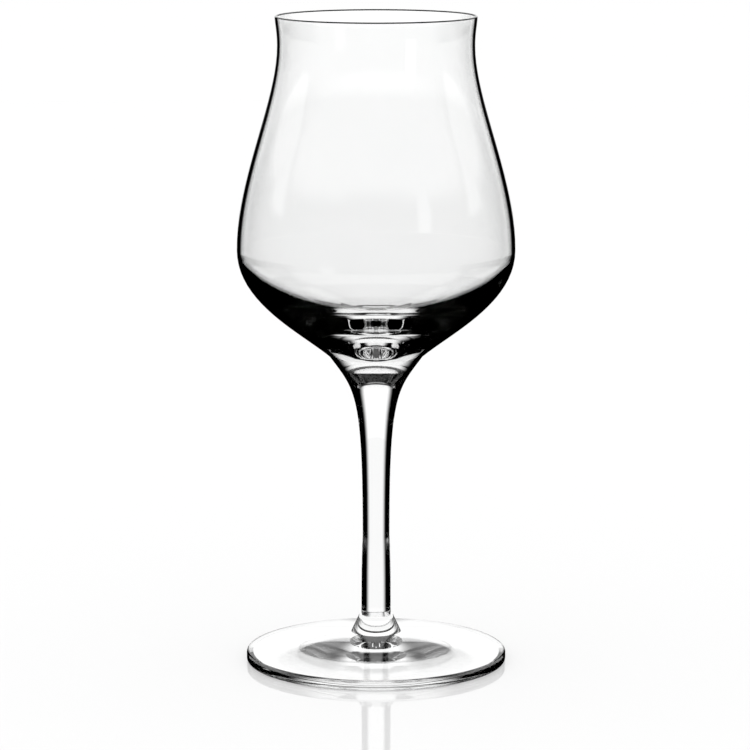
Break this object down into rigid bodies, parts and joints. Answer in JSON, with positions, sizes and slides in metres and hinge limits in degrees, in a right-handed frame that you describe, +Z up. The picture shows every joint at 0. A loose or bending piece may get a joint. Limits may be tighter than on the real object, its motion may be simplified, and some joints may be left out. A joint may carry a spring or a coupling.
{
  "type": "stemmed tasting glass",
  "caption": "Clear stemmed tasting glass with a full belly, a drawn-in waist and a slightly turned-out lip, on a trumpet-topped stem and a low conical foot.",
  "frame": {"origin": "middle of the flat ring that the glass stands on", "axes": "+Z up along the stem from the foot to the rim; the glass is round about +Z, so +X and +Y are free"},
  "size_m": [0.0852, 0.0852, 0.2],
  "materials": {
    "clear_glass": "polished, colourless"
  },
  "bodies": {
    "root": {"bowl": "clear_glass", "stem": "clear_glass", "foot": "clear_glass"}
  },
  "joints": []
}
